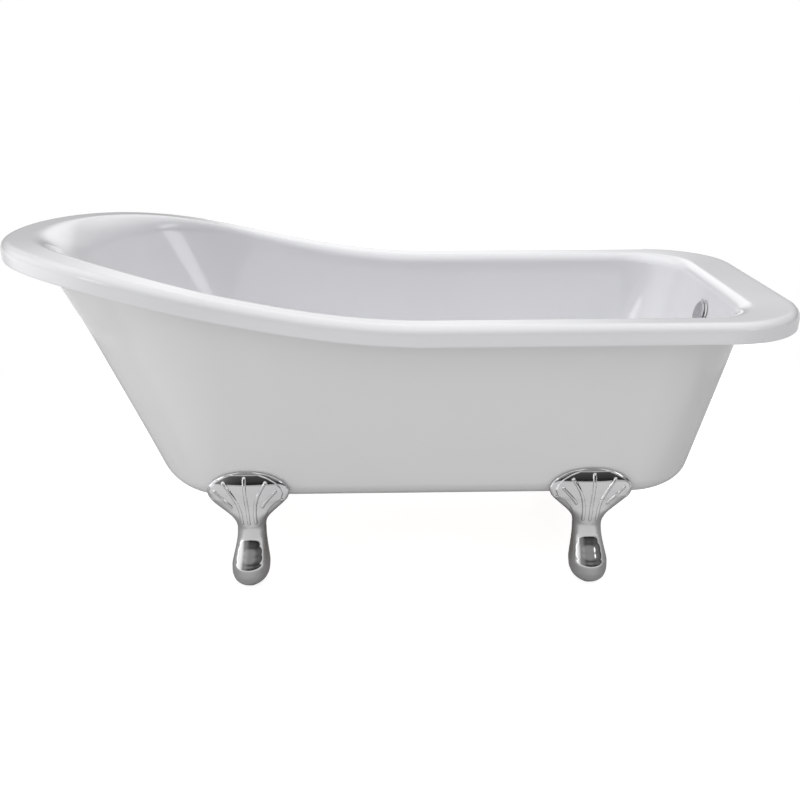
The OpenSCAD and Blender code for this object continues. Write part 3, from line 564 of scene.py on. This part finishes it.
def disc_rings(cx, cy, z0, z1, r, bevel=0.6, n=40):
    a = 2 * math.pi * np.arange(n) / n
    rings = []
    for z, d in ((z0, bevel), (z0 + bevel, 0), (z1 - bevel, 0), (z1, bevel)):
        rings.append(with_z(np.stack([cx + (r - d) * np.cos(a), cy + (r - d) * np.sin(a)], -1), z))
    return rings


def leg_side_y(x):
    """Half width of the skin's straight side at its lowest level."""
    return SKIN_HALF_W - SKIN_TAPER * min(max((x + 358) / 884, 0), 1)


def place(rings, x, side):
    """From the foot's own frame to the bath: y outward becomes +Y or -Y."""
    out = []
    for ring in rings:
        p = ring.copy()
        p[:, 0] += x
        p[:, 1] = side * (leg_side_y(x) + p[:, 1])
        out.append(p)
    return out


for end, turn in (("head", -1), ("foot", 1)):
    for face, side in (("front", -1), ("back", 1)):
        x = LEG_X[end]
        foot = ring_object(f"foot_{end}_{face}", place(foot_rings(x, turn), x, side), chrome_cast, "tub",
                           closed=False, sharp_deg=45)
        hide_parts(f"leg_{end}_{face}")
        lug = ring_object(f"lug_{end}_{face}", place(box_rings(-36, 36, -104, 2, 184, 199.8, 6, 2), x, side),
                          chrome_cast, "tub", closed=False)
        for n, u in enumerate((-22, 22)):
            boss = ring_object(f"boss_{end}_{face}_{n}", place(disc_rings(u, -86, 190, 205.6, 13), x, side),
                               chrome_cast, "tub", closed=False)

# ---------------------------------------------------------------- hose with ribs
KNOB_Z = 534.0
DUCT_LEAN = math.radians(19.6)
duct_dir = np.array([-math.sin(DUCT_LEAN), 0, -math.cos(DUCT_LEAN)])
wall_x = plan(well_shape(KNOB_Z))[HALF_N][0]
duct_top = np.array([wall_x + 6.6, 0, KNOB_Z - 33])
hose_start = duct_top + duct_dir * 108
hose_bend = duct_top + duct_dir * 130
hose_end = np.array([WASTE[0] + 38, 0, 170.0])
hose_level = hose_end + np.array([22.0, 0, 0])


def curve(ctrl, t):
    a, b, c, d = [np.asarray(p, float) for p in ctrl]
    t = np.asarray(t)[:, None]
    return (1 - t) ** 3 * a + 3 * (1 - t) ** 2 * t * b + 3 * (1 - t) * t**2 * c + t**3 * d


def tube_rings(path, radii, n):
    d = np.gradient(path, axis=0)
    d /= np.linalg.norm(d, axis=1)[:, None]
    up = np.array([0, 1.0, 0]) - d[:, 1:2] * d
    up /= np.linalg.norm(up, axis=1)[:, None]
    side = np.cross(d, up)
    a = 2 * math.pi * np.arange(n) / n
    return [p + r * (np.cos(a)[:, None] * u + np.sin(a)[:, None] * s)
            for p, r, u, s in zip(path, radii, up, side)]


def joined_path(parts, step):
    """Points every step mm along the joined parts."""
    raw = np.concatenate([parts[0]] + [p[1:] for p in parts[1:]])
    run = np.concatenate([[0], np.cumsum(np.linalg.norm(np.diff(raw, axis=0), axis=1))])
    even = np.linspace(0, run[-1], int(run[-1] / step) + 1)
    return np.stack([np.interp(even, run, raw[:, k]) for k in range(3)], -1)


HOSE_R, HOSE_BORE_R, RIB_DEPTH, RIB_PITCH, CUFF = 10.5, 9.15, 0.75, 4.6, (12, 16)
CABLE_R = 2.35
t = np.linspace(0, 1, 200)
bend = curve([hose_bend, hose_bend + duct_dir * 110, hose_level + np.array([90.0, 0, 0]), hose_level], t)
hose_path = joined_path([np.stack([hose_start, hose_bend]), bend, np.stack([hose_level, hose_end])], 0.8)
run = np.concatenate([[0], np.cumsum(np.linalg.norm(np.diff(hose_path, axis=0), axis=1))])
cuff = smoothstep(*CUFF, run) * smoothstep(*CUFF, run[-1] - run)
radii = HOSE_R - RIB_DEPTH * cuff * (0.5 - 0.5 * np.cos(run * 2 * math.pi / RIB_PITCH))
hose_outer = tube_rings(hose_path, radii, 40)
hose_inner = tube_rings(hose_path[::12], np.full(len(hose_path[::12]), HOSE_BORE_R), 40)
hose = ring_object("hose_ribbed", hose_outer + hose_inner[::-1], hose_plastic, "tub", sharp_deg=60)
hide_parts("overflow_hose")

# ---------------------------------------------------------------- lift cable
cable_start = duct_top + duct_dir * 40 + np.array([0, -18.6, 0])
cable_mid = duct_top + duct_dir * 135 + np.array([-2.0, -30.0, 0])
cable_stop = np.array([WASTE[0] + 16, -50.0, 150.0])
cable_level = cable_stop + np.array([18.0, 0, 0])
upper = curve([cable_start, cable_start + duct_dir * 40, cable_mid - duct_dir * 40, cable_mid], t)
lower = curve([cable_mid, cable_mid + duct_dir * 110, cable_level + np.array([100.0, 0, 0]), cable_level], t)
cable_path = joined_path([upper, lower, np.stack([cable_level, cable_stop])], 2.5)
cable_tube = tube_rings(cable_path, np.full(len(cable_path), CABLE_R), 24)
cable = ring_object("cable_sheathed", cable_tube, sheath, "tub", closed=False)
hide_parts("lift_cable")

# ---------------------------------------------------------------- materials of the CAD nodes that stay
FINISH = {
    "base_board": board, "board_inserts": brass, "leg_bolts": steel, "leg_washers": steel,
    "overflow_plate": chrome, "overflow_seal": rubber, "overflow_body": duct_plastic,
    # The knob gets the darker chrome copy, a painted dark reflection.
    "overflow_knob": knob_chrome_painted_dark,
    "overflow_spindle": brass, "knob_screw": chrome, "hose_clips": steel,
    "waste_flange": chrome, "waste_seal_top": rubber, "waste_seal_bottom": rubber, "waste_body": duct_plastic,
    "plug_cap": chrome, "plug_seal": rubber, "plug_stem": brass, "lift_lever": steel}
for corner in ("head_front", "head_back", "foot_front", "foot_back"):
    FINISH["leveller_" + corner] = steel
    FINISH["pad_" + corner] = rubber
for node, material in FINISH.items():
    obj = frame["nodes"][node]
    obj.data.materials.clear()
    obj.data.materials.append(material)

# ---------------------------------------------------------------- floor, light, camera
FLOOR_X, FLOOR_NEAR, FLOOR_FAR = (-1.5, 1.5), -2.6, 6.0
# The camera sees an even pale floor. What the bath mirrors and is lit by is a softly shining floor, painted
# light that glows though it is no lamp, with a strip of painted shadow centred on y = SHADE_Y, under and
# behind the bath.
SHADE_Y, SHADE_EDGE, FLOOR_LIGHT, FLOOR_SEEN = 0.3, (0.62, 0.85), (0.04, 0.40), 0.87
floor_mat = surface("studio_floor", (0.42, 0.42, 0.42), (0.40, 0.40, 0.40), 1.5, (0.5, 0.6), 3.0,
                    [(60.0, 0.05, 0.0003)])
floor_bsdf = floor_mat.node_tree.nodes["Principled BSDF"]
floor_bsdf.inputs["Emission Color"].default_value = (1, 1, 1, 1)
fn, fl = floor_mat.node_tree.nodes, floor_mat.node_tree.links
where = fn.new("ShaderNodeSeparateXYZ")
fl.new(fn["Texture Coordinate"].outputs["Object"], where.inputs["Vector"])
across = fn.new("ShaderNodeMath")
across.operation = "SUBTRACT"
across.inputs[1].default_value = SHADE_Y
fl.new(where.outputs["Y"], across.inputs[0])
away = fn.new("ShaderNodeMath")
away.operation = "ABSOLUTE"
fl.new(across.outputs[0], away.inputs[0])
# Painted shadow: the floor's glow for light and reflections is dimmed in a strip under and behind the bath.
painted_shadow_strip = fn.new("ShaderNodeMapRange")
painted_shadow_strip.interpolation_type = "SMOOTHSTEP"
painted_shadow_strip.inputs["From Min"].default_value, painted_shadow_strip.inputs["From Max"].default_value = SHADE_EDGE
painted_shadow_strip.inputs["To Min"].default_value, painted_shadow_strip.inputs["To Max"].default_value = FLOOR_LIGHT
fl.new(away.outputs[0], painted_shadow_strip.inputs["Value"])
seen = fn.new("ShaderNodeLightPath")
level = fn.new("ShaderNodeMapRange")
level.inputs["To Max"].default_value = FLOOR_SEEN
fl.new(seen.outputs["Is Camera Ray"], level.inputs["Value"])
fl.new(painted_shadow_strip.outputs["Result"], level.inputs["To Min"])
fl.new(level.outputs["Result"], floor_bsdf.inputs["Emission Strength"])
floor_mesh = bpy.data.meshes.new("studio_floor")
floor_mesh.from_pydata([(FLOOR_X[0], FLOOR_NEAR, 0), (FLOOR_X[1], FLOOR_NEAR, 0), (FLOOR_X[1], FLOOR_FAR, 0),
                        (FLOOR_X[0], FLOOR_FAR, 0)], [], [(0, 1, 2, 3)])
floor_mesh.materials.append(floor_mat)
floor = bpy.data.objects.new("studio_floor", floor_mesh)
scene.collection.objects.link(floor)


# ---------------------------------------------------------------- surroundings
world = bpy.data.worlds.new("studio")
scene.world = world
world.use_nodes = True
wn, wl = world.node_tree.nodes, world.node_tree.links
coord = wn.new("ShaderNodeTexCoord")


def math_node(kind, a, b):
    node = wn.new("ShaderNodeMath")
    node.operation = kind
    for socket, value in zip(node.inputs, (a, b)):
        if hasattr(value, "is_output"):
            wl.new(value, socket)
        else:
            socket.default_value = value
    return node.outputs[0]


def glow(azimuth, elevation, inner, outer, strength):
    """Round soft patch of light; azimuth 0 is +X and 90 is +Y, all in degrees."""
    az, el = math.radians(azimuth), math.radians(elevation)
    dot = wn.new("ShaderNodeVectorMath")
    dot.operation = "DOT_PRODUCT"
    dot.inputs[1].default_value = (math.cos(az) * math.cos(el), math.sin(az) * math.cos(el), math.sin(el))
    wl.new(coord.outputs["Generated"], dot.inputs[0])
    ramp_node = wn.new("ShaderNodeMapRange")
    ramp_node.interpolation_type = "SMOOTHSTEP"
    ramp_node.inputs["From Min"].default_value = math.cos(math.radians(outer))
    ramp_node.inputs["From Max"].default_value = math.cos(math.radians(inner))
    ramp_node.inputs["To Max"].default_value = strength
    wl.new(dot.outputs["Value"], ramp_node.inputs["Value"])
    return ramp_node.outputs["Result"]


# Azimuth, elevation, inner and outer radius and strength of each patch of light.
PATCHES = (
    (90, 21, 3, 20, 0.76), (95, 8, 25, 60, 0.2),  # wall behind the bath, bright middle and dim surround
    (-140, 26, 5, 9, 2.6), (-42, 24, 5, 9, 2.2),  # lamps to the left and right of the camera
    (180, 8, 10, 45, 1.1), (-150, 5, 10, 50, 0.25),  # window at the head end, and its spill to the front
    (-15, 32, 10, 45, 0.12))  # soft light at the foot end
# Brightness of the sky and of what lies below the horizon, by the z of the direction, and the least anywhere.
SKY_STOPS = ((0.0, 0.6), (0.004, 0.02), (0.06, 0.03), (0.24, 0.10), (0.34, 0.32), (0.62, 0.45), (0.80, 1.3),
             (1.0, 1.55))
LEAST_LIGHT = 0.02
split = wn.new("ShaderNodeSeparateXYZ")
wl.new(coord.outputs["Generated"], split.inputs["Vector"])
sky = wn.new("ShaderNodeValToRGB")
for k, (pos, level) in enumerate(SKY_STOPS):
    if k in (0, len(SKY_STOPS) - 1):
        element = sky.color_ramp.elements[0 if k == 0 else -1]
        element.position = pos
    else:
        element = sky.color_ramp.elements.new(pos)
    element.color = (level, level, level, 1)
wl.new(split.outputs["Z"], sky.inputs["Fac"])
total = sky.outputs["Color"]
for patch in PATCHES:
    total = math_node("ADD", total, glow(*patch))
total = math_node("MAXIMUM", total, LEAST_LIGHT)
white, room = wn.new("ShaderNodeBackground"), wn["Background"]
room.inputs["Color"].default_value = (1, 1, 1, 1)
wl.new(total, room.inputs["Strength"])
white.inputs["Color"].default_value = (1, 1, 1, 1)
path = wn.new("ShaderNodeLightPath")
choose = wn.new("ShaderNodeMixShader")
wl.new(path.outputs["Is Camera Ray"], choose.inputs["Fac"])
wl.new(room.outputs["Background"], choose.inputs[1])
wl.new(white.outputs["Background"], choose.inputs[2])
wl.new(choose.outputs["Shader"], wn["World Output"].inputs["Surface"])

CAM = {"pos": (40.27, -1912.02, 1079.54), "yaw": -0.635, "pitch": -21.608, "roll": -0.600, "f": 845.156}
yaw, pitch, roll = [math.radians(CAM[k]) for k in ("yaw", "pitch", "roll")]
ahead = Vector((math.sin(yaw) * math.cos(pitch), math.cos(yaw) * math.cos(pitch), math.sin(pitch)))
right = Vector((math.cos(yaw), -math.sin(yaw), 0))
above = right.cross(ahead)
cos_roll, sin_roll = math.cos(roll), math.sin(roll)
right, above = right * cos_roll + above * sin_roll, above * cos_roll - right * sin_roll
cam_data = bpy.data.cameras.new("camera")
cam_data.sensor_width = 36
cam_data.lens = CAM["f"] * 36 / 800
cam_data.clip_start, cam_data.clip_end = 0.01, 100
camera = bpy.data.objects.new("camera", cam_data)
rotation = Matrix((right, above, -ahead)).transposed().to_4x4()
camera.matrix_world = Matrix.Translation(Vector(CAM["pos"]) * MM) @ rotation
scene.collection.objects.link(camera)
scene.camera = camera
scene.view_settings.view_transform = "Standard"
scene.view_settings.look = "None"
